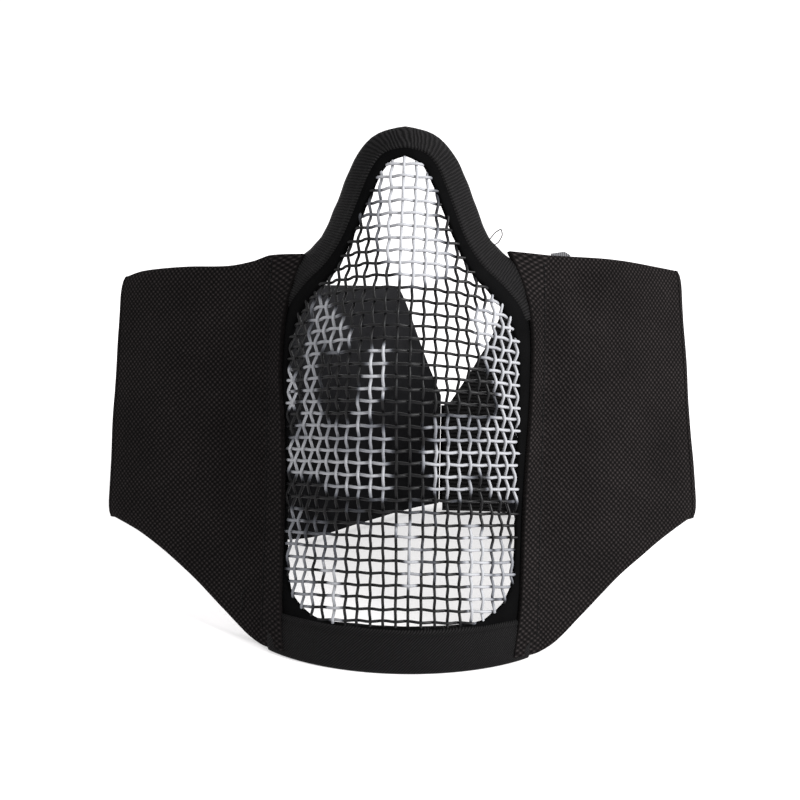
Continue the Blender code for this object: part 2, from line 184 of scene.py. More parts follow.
def smooth_path(points, steps):
    """Points on a Catmull-Rom curve through the given plan or outline points."""
    pts = [np.array(p, float) for p in points]
    pts = [2 * pts[0] - pts[1]] + pts + [2 * pts[-1] - pts[-2]]
    path = []
    for a, b, c, d in zip(pts, pts[1:], pts[2:], pts[3:]):
        for k in range(steps):
            t = k / steps
            path.append(0.5 * (2 * b + (c - a) * t + (2 * a - 5 * b + 4 * c - d) * t ** 2
                               + (3 * b - a - 3 * c + d) * t ** 3))
    path.append(pts[-2])
    return np.array(path)


def even_path(path, step):
    """The same path with points an even distance apart."""
    length = np.concatenate([[0], np.cumsum(np.hypot(*np.diff(path, axis=0).T))])
    count = max(int(length[-1] / step), 4)
    at = np.linspace(0, length[-1], count + 1)
    return np.column_stack([np.interp(at, length, path[:, 0]), np.interp(at, length, path[:, 1])])


def face_depth(x, z):
    t = abs(x) / smooth_value(WIDTH, z)
    round_part = (1 - math.sqrt(max(0.0, 1 - (0.88 * min(t, 1.1)) ** 2))) / 0.525
    nose = min(max((z - 95.0) / 35.0, 0.0), 1.0)
    section = (1 - nose) * (0.45 * round_part + 0.55 * t * t) + nose * t ** 1.5
    crest = smooth_value(CREST, z)
    return crest + (smooth_value(SIDE_DEPTH, z) - crest) * section


def face_normal(x, z):
    step = 0.4
    dx = (face_depth(x + step, z) - face_depth(x - step, z)) / (2 * step)
    dz = (face_depth(x, z + step) - face_depth(x, z - step)) / (2 * step)
    return Vector((dx, -1.0, dz)).normalized()


def face_point(x, z, out=0.0):
    """A point on the face panel's middle surface, moved out along its normal."""
    return Vector((x, face_depth(x, z), z)) + face_normal(x, z) * out


class Wing:
    """Plan curve of one wing by distance from its stitch line; side is 1 right, -1 left."""

    def __init__(self, side):
        self.side = side
        cheek = smooth_path(WING_CHEEK, 16)
        ear = smooth_path(WING_EAR_RIGHT if side > 0 else WING_EAR_LEFT, 16)
        self.path = np.concatenate([cheek, ear[1:]])
        steps = np.hypot(*np.diff(self.path, axis=0).T)
        self.length = np.concatenate([[0.0], np.cumsum(steps)])
        self.crease = float(self.length[len(cheek) - 1])

    def plan(self, s):
        x = float(np.interp(s, self.length, self.path[:, 0]))
        y = float(np.interp(s, self.length, self.path[:, 1]))
        if s < 0:
            x += s * 0.91
            y += s * 0.42
        return x, y

    def reach(self, x):
        """Distance at which the part behind the crease comes to the given x."""
        behind = self.length > self.crease
        xs = self.path[behind, 0][::-1]
        return float(np.interp(x, xs, self.length[behind][::-1]))

    def edges(self, s):
        """Heights of the lower and upper edge at a distance along the wing."""
        return smooth_value(WING_BOTTOM[self.side], s), smooth_value(WING_TOP[self.side], s)

    def flare(self, s, z):
        low, high = FLARE[self.side]
        share = min(max(s / self.crease, 0.0), 1.0)
        if s > self.crease:
            share = max(1.0 - (s - self.crease) / 70.0, 0.0)
        return (low + (high - low) * (z - 43.0) / 90.0) * share * share * (3 - 2 * share)

    def point(self, s, inward, z):
        """Rounded over the crease: the plan is read a few millimetres either side."""
        x, y = self.plan(s)
        reach = 2.6
        if abs(s - self.crease) < 3 * reach:
            pairs = [self.plan(s + d) for d in (-reach, -reach / 2, 0, reach / 2, reach)]
            x, y = np.mean([p[0] for p in pairs]), np.mean([p[1] for p in pairs])
        ax, ay = self.plan(s - 2.2)
        bx, by = self.plan(min(s + 2.2, self.length[-1]))
        run = math.hypot(bx - ax, by - ay)
        nx, ny = -(by - ay) / run, (bx - ax) / run
        x += self.flare(s, z)
        near = min(max(1 - s / 36.0, 0.0), 1.0) * min(max((62.0 - z) / 55.0, 0.0), 1.0)
        y -= FOOT_FORWARD * near * near * (3 - 2 * near)
        return Vector((self.side * (x + nx * inward), y + ny * inward, z))


WINGS = {"left": Wing(-1), "right": Wing(1)}


# ---------------------------------------------------------------- mesh helpers
def add_piece(name, verts, faces, materials, cloth, indices=None):
    """A mesh piece in world metres; cloth holds a texture position in millimetres per vertex."""
    mesh = bpy.data.meshes.new(name)
    mesh.from_pydata([world(v) for v in verts], [], faces)
    for material in materials:
        mesh.materials.append(material)
    if indices is not None:
        mesh.polygons.foreach_set("material_index", indices)
    layer = mesh.attributes.new("cloth", "FLOAT_VECTOR", "POINT")
    layer.data.foreach_set("vector", np.array(cloth, np.float32).ravel())
    mesh.update()
    mesh.shade_smooth()
    obj = bpy.data.objects.new(name, mesh)
    bpy.context.scene.collection.objects.link(obj)
    return obj


def recalc(obj):
    bm = bmesh.new()
    bm.from_mesh(obj.data)
    bmesh.ops.recalc_face_normals(bm, faces=bm.faces)
    bm.to_mesh(obj.data)
    bm.free()


def tube(points, normals, radius, sides, closed=False):
    """Vertices and faces of a round tube along points, capped unless closed."""
    verts, faces = [], []
    count = len(points)
    for k in range(count):
        ahead = points[(k + 1) % count] if closed else points[min(k + 1, count - 1)]
        back = points[k - 1] if closed or k else points[0]
        along = (ahead - back).normalized()
        up = (normals[k] - along * normals[k].dot(along)).normalized()
        side = along.cross(up)
        r = radius[k] if isinstance(radius, (list, np.ndarray)) else radius
        for s in range(sides):
            a = 2 * math.pi * s / sides
            verts.append(points[k] + (up * math.cos(a) + side * math.sin(a)) * r)
    rings = count if closed else count - 1
    for k in range(rings):
        for s in range(sides):
            n = (s + 1) % sides
            a, b = k * sides, ((k + 1) % count) * sides
            faces.append((a + s, b + s, b + n, a + n))
    if not closed:
        faces.append(tuple(range(sides)))
        faces.append(tuple(range((count - 1) * sides, count * sides))[::-1])
    return verts, faces


class Bundle:
    """Collects many small solids into one mesh piece."""

    def __init__(self):
        self.verts, self.faces, self.cloth = [], [], []

    def add(self, verts, faces, cloth):
        base = len(self.verts)
        self.verts += list(verts)
        self.faces += [tuple(base + i for i in f) for f in faces]
        self.cloth += list(cloth)

    def piece(self, name, material):
        return add_piece(name, self.verts, self.faces, [material], self.cloth)


def sweep(name, outline, profile, material, closed=False):
    """A strip along an outline; profile(along, x, z) gives (inward, out) pairs round a section."""
    verts, faces, cloth = [], [], []
    count = len(outline)
    travelled = 0.0
    for k, (x, z) in enumerate(outline):
        ahead = outline[(k + 1) % count] if closed else outline[min(k + 1, count - 1)]
        back = outline[k - 1] if closed or k else outline[0]
        run = math.hypot(ahead[0] - back[0], ahead[1] - back[1])
        ix, iz = (back[1] - ahead[1]) / run, (ahead[0] - back[0]) / run
        if k:
            before = outline[k - 1]
            travelled += (Vector(face_point(x, z)) - face_point(before[0], before[1])).length
        section = profile(travelled, x, z)
        for d, out in section:
            verts.append(face_point(x + ix * d, z + iz * d, out))
            cloth.append((travelled, d, out))
    size = len(section)
    for k in range(count if closed else count - 1):
        a, b = k * size, ((k + 1) % count) * size
        for s in range(size):
            n = (s + 1) % size
            faces.append((a + s, a + n, b + n, b + s))
    if not closed:
        faces.append(tuple(range(size))[::-1])
        faces.append(tuple(range((count - 1) * size, count * size)))
    obj = add_piece(name, verts, faces, [material], cloth)
    recalc(obj)
    return obj


def two_skin_faces(columns, rows):
    """Faces of a closed sheet: two grids of points, one after the other, and the rim between."""
    wide, layer = columns + 1, (columns + 1) * (rows + 1)
    faces = []
    for j in range(rows):
        for i in range(columns):
            a = j * wide + i
            faces.append((a, a + 1, a + wide + 1, a + wide))
            faces.append((layer + a, layer + a + wide, layer + a + wide + 1, layer + a + 1))
    border = [(i, 0) for i in range(columns)] + [(columns, j) for j in range(rows)]
    border += [(i, rows) for i in range(columns, 0, -1)] + [(0, j) for j in range(rows, 0, -1)]
    ring = [j * wide + i for i, j in border]
    faces += [(a, layer + a, layer + b, b) for a, b in zip(ring, ring[1:] + ring[:1])]
    return faces


# ---------------------------------------------------------------- materials
def new_material(name):
    material = bpy.data.materials.new(name)
    material.use_nodes = True
    nodes, links = material.node_tree.nodes, material.node_tree.links
    return material, nodes, links, nodes["Principled BSDF"]


def math_node(nodes, links, operation, a, b=None, c=None):
    node = nodes.new("ShaderNodeMath")
    node.operation = operation
    for socket, value in zip(node.inputs, (a, b, c)):
        if value is None:
            continue
        if isinstance(value, (int, float)):
            socket.default_value = value
        else:
            links.new(value, socket)
    return node.outputs[0]


def cloth_position(nodes, links):
    attribute = nodes.new("ShaderNodeAttribute")
    attribute.attribute_name = "cloth"
    split = nodes.new("ShaderNodeSeparateXYZ")
    links.new(attribute.outputs["Vector"], split.inputs[0])
    return attribute.outputs["Vector"], split.outputs[0], split.outputs[1]


def noise_at(nodes, links, vector, scale, detail=3.0, rough=0.55):
    node = nodes.new("ShaderNodeTexNoise")
    node.inputs["Scale"].default_value = scale
    node.inputs["Detail"].default_value = detail
    node.inputs["Roughness"].default_value = rough
    links.new(vector, node.inputs["Vector"])
    return node.outputs["Fac"]


def ramp(nodes, links, value, stops):
    node = nodes.new("ShaderNodeValToRGB")
    elements = node.color_ramp.elements
    while len(elements) < len(stops):
        elements.new(0.5)
    for element, (place, colour) in zip(elements, stops):
        element.position = place
        element.color = (*colour, 1.0)
    links.new(value, node.inputs[0])
    return node.outputs[0]


def bump(nodes, links, shader, height, strength, distance_mm):
    node = nodes.new("ShaderNodeBump")
    node.inputs["Strength"].default_value = strength
    node.inputs["Distance"].default_value = distance_mm * MM
    links.new(height, node.inputs["Height"])
    links.new(node.outputs[0], shader.inputs["Normal"])


YARN_PITCH = 0.5             # lengthwise yarns of tape and elastic


def make_nylon(name, pitch, dark, light, roughness, sheen):
    """Coarse plain weave: staggered yarn crowns, uneven yarns and faint cloudy shading."""
    material, nodes, links, shader = new_material(name)
    vector, u, v = cloth_position(nodes, links)
    drift = noise_at(nodes, links, vector, 0.35, 2.0)
    slip = math_node(nodes, links, "MULTIPLY_ADD", drift, 0.9, -0.45)
    u = math_node(nodes, links, "ADD", u, slip)
    v = math_node(nodes, links, "ADD", v, slip)
    warp = math_node(nodes, links, "SINE", math_node(nodes, links, "MULTIPLY", u, math.pi / pitch))
    weft = math_node(nodes, links, "SINE", math_node(nodes, links, "MULTIPLY", v, math.pi / pitch))
    cross = math_node(nodes, links, "MULTIPLY", warp, weft)
    crown = math_node(nodes, links, "MULTIPLY_ADD", cross, 0.5, 0.5)
    fibre = noise_at(nodes, links, vector, 4.5, 3.0, 0.7)
    cloud = noise_at(nodes, links, vector, 0.05, 3.0)
    mixed = math_node(nodes, links, "MULTIPLY_ADD", crown, 0.62,
                      math_node(nodes, links, "MULTIPLY", fibre, 0.38))
    shade = math_node(nodes, links, "MULTIPLY_ADD", cloud, 0.22, mixed)
    shade = math_node(nodes, links, "SUBTRACT", shade, 0.1)
    colour = ramp(nodes, links, shade, [(0.2, dark), (0.58, [c * 0.24 for c in light]),
                                        (0.86, light)])
    links.new(colour, shader.inputs["Base Color"])
    rough = math_node(nodes, links, "MULTIPLY_ADD", fibre, 0.2, roughness - 0.1)
    links.new(rough, shader.inputs["Roughness"])
    shader.inputs["Sheen Weight"].default_value = sheen
    shader.inputs["Sheen Roughness"].default_value = 0.45
    shader.inputs["Specular IOR Level"].default_value = 0.03
    height = math_node(nodes, links, "MULTIPLY_ADD", fibre, 0.3, crown)
    bump(nodes, links, shader, height, 0.9, 0.28)
    return material


def make_ribbed(name, pitch, slant, dark, light, roughness, depth):
    """Binding tape or elastic: ribs across it, slanted by slant mm for each mm of width."""
    material, nodes, links, shader = new_material(name)
    vector, u, v = cloth_position(nodes, links)
    slanted = math_node(nodes, links, "MULTIPLY_ADD", v, slant, u)
    drift = noise_at(nodes, links, vector, 0.5, 2.0)
    slanted = math_node(nodes, links, "MULTIPLY_ADD", drift, 0.8, slanted)
    wave = math_node(nodes, links, "SINE",
                     math_node(nodes, links, "MULTIPLY", slanted, 2 * math.pi / pitch))
    rib = math_node(nodes, links, "MULTIPLY_ADD", wave, 0.5, 0.5)
    yarn = math_node(nodes, links, "SINE",
                     math_node(nodes, links, "MULTIPLY", v, 2 * math.pi / YARN_PITCH))
    fibre = noise_at(nodes, links, vector, 5.0, 3.0, 0.7)
    mixed = math_node(nodes, links, "MULTIPLY_ADD", rib, 0.6,
                      math_node(nodes, links, "MULTIPLY", fibre, 0.4))
    colour = ramp(nodes, links, mixed, [(0.15, dark), (0.85, light)])
    links.new(colour, shader.inputs["Base Color"])
    shader.inputs["Roughness"].default_value = roughness
    shader.inputs["Specular IOR Level"].default_value = 0.06
    height = math_node(nodes, links, "MULTIPLY_ADD", yarn, 0.12, rib)
    height = math_node(nodes, links, "MULTIPLY_ADD", fibre, 0.3, height)
    bump(nodes, links, shader, height, 0.85, depth)
    return material


def make_felt(name, colour, scale, depth):
    """Matt brushed cloth, loop pile or foam-backed lining."""
    material, nodes, links, shader = new_material(name)
    vector = cloth_position(nodes, links)[0]
    fibre = noise_at(nodes, links, vector, scale, 5.0, 0.75)
    patch = noise_at(nodes, links, vector, 0.15, 2.0)
    mixed = math_node(nodes, links, "MULTIPLY_ADD", patch, 0.4,
                      math_node(nodes, links, "MULTIPLY", fibre, 0.6))
    dark = [c * 0.45 for c in colour]
    light = [c * 1.7 for c in colour]
    colour = ramp(nodes, links, mixed, [(0.25, dark), (0.75, light)])
    links.new(colour, shader.inputs["Base Color"])
    shader.inputs["Roughness"].default_value = 0.95
    shader.inputs["Specular IOR Level"].default_value = 0.03
    bump(nodes, links, shader, fibre, 0.8, depth)
    return material


def make_painted_wire():
    """Wire sprayed black, grey and white: the paint attribute says where the light coat lies."""
    material, nodes, links, shader = new_material("camo_wire")
    attribute = nodes.new("ShaderNodeAttribute")
    attribute.attribute_name = "paint"
    place = nodes.new("ShaderNodeAttribute")
    place.attribute_name = "cloth"
    speckle = noise_at(nodes, links, place.outputs["Vector"], 1.6, 4.0, 0.7)
    wear = noise_at(nodes, links, place.outputs["Vector"], 0.5, 3.0, 0.6)
    edge = math_node(nodes, links, "MULTIPLY_ADD", speckle, 0.3, attribute.outputs["Fac"])
    edge = math_node(nodes, links, "SUBTRACT", edge, 0.15)
    colour = ramp(nodes, links, edge, [(0.14, (0.003, 0.003, 0.0035)),
                                       (0.38, (0.03, 0.032, 0.038)),
                                       (0.66, (0.13, 0.135, 0.15)), (0.96, (0.3, 0.305, 0.32))])
    mix = nodes.new("ShaderNodeMix")
    mix.data_type = "RGBA"
    mix.blend_type = "MULTIPLY"
    links.new(math_node(nodes, links, "MULTIPLY", wear, 0.3), mix.inputs[0])
    links.new(colour, mix.inputs[6])
    mix.inputs[7].default_value = (0.6, 0.6, 0.63, 1)
    links.new(mix.outputs[2], shader.inputs["Base Color"])
    rough = math_node(nodes, links, "MULTIPLY_ADD", speckle, 0.25, 0.3)
    links.new(rough, shader.inputs["Roughness"])
    shader.inputs["Specular IOR Level"].default_value = 0.16
    shader.inputs["Coat Weight"].default_value = 0.04
    shader.inputs["Coat Roughness"].default_value = 0.35
    bump(nodes, links, shader, speckle, 0.35, 0.08)
    return material


def make_thread(name, colour):
    material, nodes, links, shader = new_material(name)
    u = cloth_position(nodes, links)[1]
    twist = math_node(nodes, links, "SINE", math_node(nodes, links, "MULTIPLY", u, 9.0))
    links.new(ramp(nodes, links, math_node(nodes, links, "MULTIPLY_ADD", twist, 0.5, 0.5),
                   [(0.0, [c * 0.5 for c in colour]), (1.0, [c * 1.5 for c in colour])]),
              shader.inputs["Base Color"])
    shader.inputs["Roughness"].default_value = 0.7
    shader.inputs["Specular IOR Level"].default_value = 0.05
    bump(nodes, links, shader, twist, 0.6, 0.1)
    return material


def make_floor_material():
    material, _, _, shader = new_material("studio_floor")
    shader.inputs["Base Color"].default_value = (0.52, 0.505, 0.51, 1.0)
    shader.inputs["Roughness"].default_value = 0.8
    shader.inputs["Specular IOR Level"].default_value = 0.0
    shader.inputs["Emission Color"].default_value = (1.0, 1.0, 1.0, 1.0)
    shader.inputs["Emission Strength"].default_value = 0.5
    return material


NYLON = make_nylon("wing_nylon", 0.86, (0.0009, 0.0008, 0.0009), (0.025, 0.0212, 0.0211), 0.8,
                   0.0)
TAPE = make_ribbed("edge_tape", 0.98, 0.25, (0.0008, 0.0008, 0.0009), (0.009, 0.0085, 0.0088),
                   0.6, 0.3)
CHIN_TAPE = make_ribbed("chin_tape", 0.98, -1.0, (0.0008, 0.0008, 0.0009),
                        (0.009, 0.0085, 0.0088), 0.6, 0.3)
ELASTIC = make_ribbed("ribbed_elastic", 1.5, 0.0, (0.002, 0.002, 0.002), (0.02, 0.0195, 0.02),
                      0.65, 0.35)
FACING = make_felt("matt_facing", (0.0015, 0.0015, 0.0016), 3.0, 0.15)
LINING = make_felt("wing_lining", (0.009, 0.009, 0.0098), 2.5, 0.2)
PILE = make_felt("hook_loop", (0.006, 0.006, 0.0065), 5.0, 0.5)
WIRE = make_painted_wire()
THREAD = make_thread("black_thread", (0.006, 0.006, 0.0062))
# Painted highlight: the webbing end is black, and its highlight is painted in as a mid grey
# colour.
WEBBING_PAINTED_HIGHLIGHT = make_thread("webbing_painted_highlight", (0.1, 0.1, 0.105))


# ---------------------------------------------------------------- woven wire panel
def paint_at(x, z):
    """How much light paint lies at a place on the panel, 0 to 1."""
    wander = Vector((x * 0.09, z * 0.09, 3.1))
    x += 2.6 * noise.noise(wander)
    z += 2.6 * noise.noise(wander + Vector((7.0, 2.0, 0.0)))
    best = 0.0
    for x0, z0, x1, z1, radius, level in PAINT:
        dx, dz = x1 - x0, z1 - z0
        t = min(max(((x - x0) * dx + (z - z0) * dz) / (dx * dx + dz * dz), 0.0), 1.0)
        gap = math.hypot(x - x0 - t * dx, z - z0 - t * dz)
        fade = min(max(1.35 - gap / radius, 0.0) / 0.6, 1.0)
        best = max(best, level * fade * fade * (3 - 2 * fade))
    return best


def row_height(row):
    return FIRST_WIRE + WIRE_PITCH_UP * row


def row_drop(z):
    """How far a cross wire falls at 40 mm from the middle."""
    return smooth_value([(0, 2.6), (50, 1.5), (85, 2.5), (112, 5.5), (135, 8.0), (170, 9.0)], z)


class Arc:
    """x at a distance along the panel's cross-section, for any height."""

    def __init__(self):
        self.tables = {}

    def table(self, z):
        if z not in self.tables:
            xs = np.linspace(0, 48, 97)
            depth = np.array([face_depth(x, z) for x in xs])
            length = np.concatenate([[0], np.cumsum(np.hypot(np.diff(xs), np.diff(depth)))])
            self.tables[z] = (length, xs)
        return self.tables[z]

    def x(self, distance, z):
        low = math.floor(z / 2) * 2
        values = [float(np.interp(abs(distance), *self.table(k))) for k in (low, low + 2)]
        t = (z - low) / 2
        return math.copysign(values[0] * (1 - t) + values[1] * t, distance)


def opening_reach(z):
    """Half-width of the opening at a height, or a negative number outside it."""
    low, high = OPENING[0][1], OPENING[-1][1]
    if not low < z < high:
        return -1.0
    path = smooth_path(OPENING, 6)
    order = np.argsort(path[:, 1])
    return float(np.interp(z, path[order, 1], path[order, 0]))


def build_wires():
    arc = Arc()
    reach = {z: opening_reach(z) for z in np.arange(8, 172, 0.5)}
    bundle = Bundle()
    paint = []
    steps = 4

    def place(column, row):
        z = row_height(row)
        shift = 0.35 * noise.noise(Vector((column * 0.35, row * 0.3, 9.0)))
        lift = 0.35 * noise.noise(Vector((column * 0.3, row * 0.35, 4.0)))
        x = arc.x(column * WIRE_PITCH_ACROSS + shift, z)
        return x, z - row_drop(z) * (x / 40.0) ** 2 + lift

    def inside(x, z):
        cut = 1.7
        rows = (z, z + cut, z - cut)
        widest = max(reach.get(round(max(min(k, 171), 8) * 2) / 2, -1.0) for k in rows)
        return widest + cut > abs(x)

    def lay(samples, crimp):
        run = []
        runs = [run]
        for sample in samples:
            x, z = place(sample[0], sample[1])
            if inside(x, z):
                run.append((x, z, crimp(*sample)))
            elif run:
                run = []
                runs.append(run)
        for run in runs:
            if len(run) < 4:
                continue
            points = [face_point(x, z, out) for x, z, out in run]
            normals = [face_normal(x, z) for x, z, _ in run]
            verts, faces = tube(points, normals, WIRE_RADIUS, 7)
            bundle.add(verts, faces, [(v.x, v.z, v.y) for v in verts])
            for x, z, out in run:
                paint.extend([paint_at(x, z)] * 7)

    for row in range(WIRE_ROWS):
        columns = np.arange(-WIRE_COLUMNS - 0.5, WIRE_COLUMNS + 0.51, 1 / steps)
        lay([(c, row) for c in columns], lambda c, r: -CRIMP * math.cos(math.pi * (c + r)))
    for column in range(-WIRE_COLUMNS, WIRE_COLUMNS + 1):
        rows = np.arange(-0.5, WIRE_ROWS + 0.5, 1 / steps)
        lay([(column, r) for r in rows], lambda c, r: CRIMP * math.cos(math.pi * (c + r)))

    piece = bundle.piece("woven_wire_panel", WIRE)
    layer = piece.data.attributes.new("paint", "FLOAT", "POINT")
    layer.data.foreach_set("value", np.array(paint, np.float32))
    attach(piece, "face")
    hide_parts("wire_mesh_panel")


build_wires()


# ---------------------------------------------------------------- facing and tapes
def mirrored(half):
    """A closed loop from a half outline that starts and ends on the middle line."""
    return np.concatenate([half, half[-2:0:-1] * (-1, 1)])


def build_facing():
    loop = even_path(np.vstack([mirrored(smooth_path(OPENING, 8)), [OPENING[0]]]), 1.5)[:-1]

    def profile(along, x, z):
        ragged = 0.45 * noise.noise(Vector((along * 0.35, 2.0, 5.0)))
        corner = math.exp(-((abs(x) - 35.0) / 6.0) ** 2 - ((z - 23.0) / 9.0) ** 2)
        wide = 5.4 + 3.4 * corner
        return [(ragged, 0.45), (ragged - 0.3, 1.05), (-2.0, 1.35), (1.2 - wide, 1.15),
                (-wide, 0.6), (0.4 - wide, -0.9), (-2.0, -1.4), (ragged - 0.4, -1.0),
                (ragged, -0.3)]

    piece = sweep("edge_facing", loop, profile, FACING, closed=True)
    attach(piece, "face")
    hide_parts("nose_facing", "chin_facing", "left_side_facing", "right_side_facing")


def build_nose_tape():
    half = smooth_path(TAPE_INNER, 8)
    outline = even_path(np.concatenate([half, half[-2::-1] * (-1, 1)]), 1.1)

    def profile(along, _, z):
        swell = 1.0 + 0.08 * noise.noise(Vector((along * 0.12, 8.0, 1.0)))
        width = TAPE_WIDTH * (1 + 0.03 * noise.noise(Vector((along * 0.2, 3.0, 1.0))))
        width += 0.15 * max(135.0 - z, 0.0)
        front = [(0.1, 0.9), (0.0, 1.5), (-0.5, 2.0 * swell), (-1.2, 2.1 * swell),
                 (-1.7, 1.9 * swell), (-2.6, 2.15 * swell), (-4.2, 2.3 * swell),
                 (-5.6, 2.15 * swell), (-6.6, 1.6 * swell)]
        front = [(d * width / TAPE_WIDTH, n) for d, n in front]
        edge = [(-width, 0.6), (-width, -0.6)]
        back = [(-0.94 * width, -1.6), (-0.7 * width, -2.1), (-0.4 * width, -2.1), (-0.5, -1.9),
                (0.0, -1.4), (0.1, -0.8)]
        return front + edge + back

    piece = sweep("nose_binding", outline, profile, TAPE)
    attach(piece, "face")
    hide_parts("nose_tape")


def floor_height(x, out):
    z = 3.0
    for _ in range(6):
        z = math.tan(LEAN) * face_point(x, z, out).y
    return z


def build_chin_tape():
    """Band folded under the panel's lower edge, with its foot flat on the surface below."""
    columns, half, top = 88, 41.4, 14.4
    section = [(top, 0.8), (top - 0.1, 1.5), (top - 0.6, 2.0), (top - 1.4, 2.1), (top - 1.9, 1.85),
               (top - 3.0, 2.05), (10.0, 2.2), (7.5, 2.3), (5.0, 2.3), (2.8, 2.25), (1.2, 2.1),
               (0.3, 1.7), (0.0, 1.2), (0.0, -1.2), (0.3, -1.7), (2.5, -2.0), (8.0, -2.1),
               (top - 1, -2.0), (top, -1.3)]
    verts, faces, cloth = [], [], []
    for i in range(columns + 1):
        x = -half + 2 * half * i / columns
        edge = 0.25 * noise.noise(Vector((x * 0.12, 6.0, 0.0)))
        along = x + 4.0 * math.copysign(max(abs(x) - 24, 0) / 10, x)
        for height, out in section:
            foot = floor_height(x, out)
            z = foot + (height + edge * height / top) * (1 - foot / 60.0)
            verts.append(face_point(x, z, out))
            cloth.append((along, height, out))
    size = len(section)
    for i in range(columns):
        a, b = i * size, (i + 1) * size
        for s in range(size):
            n = (s + 1) % size
            faces.append((a + s, a + n, b + n, b + s))
    faces.append(tuple(range(size)))
    faces.append(tuple(range(columns * size, (columns + 1) * size))[::-1])
    piece = add_piece("chin_binding", verts, faces, [CHIN_TAPE], cloth)
    recalc(piece)
    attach(piece, "face")
    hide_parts("chin_tape")


build_facing()
build_nose_tape()
build_chin_tape()


# ---------------------------------------------------------------- wings
PAD_THICK = 5.2
HEM_THICK = 1.8
# How far the folded edge stands inside the panel's edge, by height on the right and left.
HEM_FOLD = {
    1: [(5, 5.0), (20, 3.5), (50, 3.2), (72, 2.6), (93, 1.9), (113, 1.3), (134, 1.1)],
    -1: [(5, 5.6), (20, 4.5), (50, 4.7), (78, 4.5), (93, 3.4), (113, 3.0), (134, 2.4)]}


def fold_point(wing, z, out):
    fold_x = smooth_value(WIDTH, z) - smooth_value(HEM_FOLD[wing.side], z)
    point = face_point(fold_x, z, out)
    point.x *= wing.side
    return point


def cloth_wave(wing, s, z):
    """Gentle unevenness of sewn cloth, inwards positive, in millimetres."""
    wave = 0.9 * noise.noise(Vector((s * 0.035, z * 0.03, 11.0 * wing.side)))
    wave += 0.35 * noise.noise(Vector((s * 0.09, z * 0.07, 5.0 + wing.side)))
    if wing.side > 0:
        dent = math.hypot((s - 14.0) / 7.0, (z - 124.0) / 9.0)
        wave += 2.0 * math.exp(-dent * dent)
    return wave * min(max(s / 10.0, 0.0), 1.0)


def wing_skin(wing, s, z, depth):
    """Skin point of a pad: depth 0 is the outer cloth, 1 the lining."""
    low, high = wing.edges(s)
    rim = min(z - low, high - z, 1e3)
    swell = 1.0 - math.exp(-max(rim, 0.0) / 2.2)
    if s < 0:
        stitch = abs(s) / HEM_WIDTH
        fold = fold_point(wing, z, 1.1 + HEM_THICK * (1 - depth))
        hinge = wing.point(0.0, HEM_THICK * depth, z)
        point = hinge.lerp(fold, stitch)
        lift = 0.5 * math.sin(math.pi * min(stitch * 1.25, 1.0)) * (1 - depth)
        point.y -= lift
        return point
    grow = 1.0 - math.exp(-s / 3.0)
    thick = HEM_THICK + (PAD_THICK - HEM_THICK) * grow * (0.25 + 0.75 * swell)
    middle = 0.5 * HEM_THICK + (0.5 * PAD_THICK - 0.5 * HEM_THICK) * grow
    inward = middle + thick * (depth - 0.5) + cloth_wave(wing, s, z)
    return wing.point(s, inward, z)


PUFF_PRESSURE = 4.0
PUFF_FRAMES = 14
PUFF_LIMIT = 1.3 * MM        # how far the stuffing may move a point of the cloth


def puff(piece, held):
    """Let the filled pad swell and pucker between its sewn edges, which stay where they are."""
    group = piece.vertex_groups.new(name="held")
    group.add(held, 1.0, "REPLACE")
    cloth = piece.modifiers.new("puff", "CLOTH")
    cloth.settings.use_pressure = True
    cloth.settings.uniform_pressure_force = PUFF_PRESSURE
    cloth.settings.effector_weights.gravity = 0.0
    cloth.settings.vertex_group_mass = "held"
    cloth.settings.quality = 5
    cloth.collision_settings.use_collision = False
    scene = bpy.context.scene
    for step in range(1, PUFF_FRAMES + 1):
        scene.frame_set(step)
    swollen = piece.evaluated_get(bpy.context.evaluated_depsgraph_get())
    for vertex, moved in zip(piece.data.vertices, swollen.data.vertices):
        shift = moved.co - vertex.co
        if shift.length > 0:
            vertex.co += shift * (PUFF_LIMIT / (PUFF_LIMIT + shift.length))
    piece.modifiers.remove(cloth)
    piece.vertex_groups.remove(group)
    scene.frame_set(1)


def build_pad(name, wing, stations, rows, limit, replaced):
    """Closed pad between two skins; stations are distances along the wing."""
    verts, cloth = [], []
    columns = len(stations) - 1
    wide, layer = columns + 1, (columns + 1) * (rows + 1)
    for depth in (0.0, 1.0):
        for j in range(rows + 1):
            for s in stations:
                low, high = wing.edges(s)
                share = 0.5 - 0.5 * math.cos(math.pi * j / rows)
                share = 0.6 * j / rows + 0.4 * share
                z = low + (high - low) * share
                at = s if limit is None else limit(s, z)
                verts.append(wing_skin(wing, at, z, depth))
                cloth.append((at, z, depth * 50.0))
    faces = two_skin_faces(columns, rows)
    skins = 2 * columns * rows
    indices = [k % 2 if k < skins else 0 for k in range(len(faces))]
    piece = add_piece(name, verts, faces, [NYLON, LINING], cloth, indices)
    recalc(piece)
    seam = {i for i, s in enumerate(stations) if s < 3.0 or i in (0, columns)}
    held = [depth * layer + j * wide + i for depth in (0, 1) for j in range(rows + 1)
            for i in range(wide) if i in seam or j in (0, 1, rows - 1, rows)]
    puff(piece, held)
    soften = piece.modifiers.new("soft_edge", "BEVEL")
    soften.width = 0.45 * MM
    soften.segments = 2
    soften.limit_method = "ANGLE"
    soften.angle_limit = math.radians(50)
    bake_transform(piece)
    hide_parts(*replaced)
    return piece


SPLIT = 3.0                  # the two pads of a wing meet this far in front of the crease


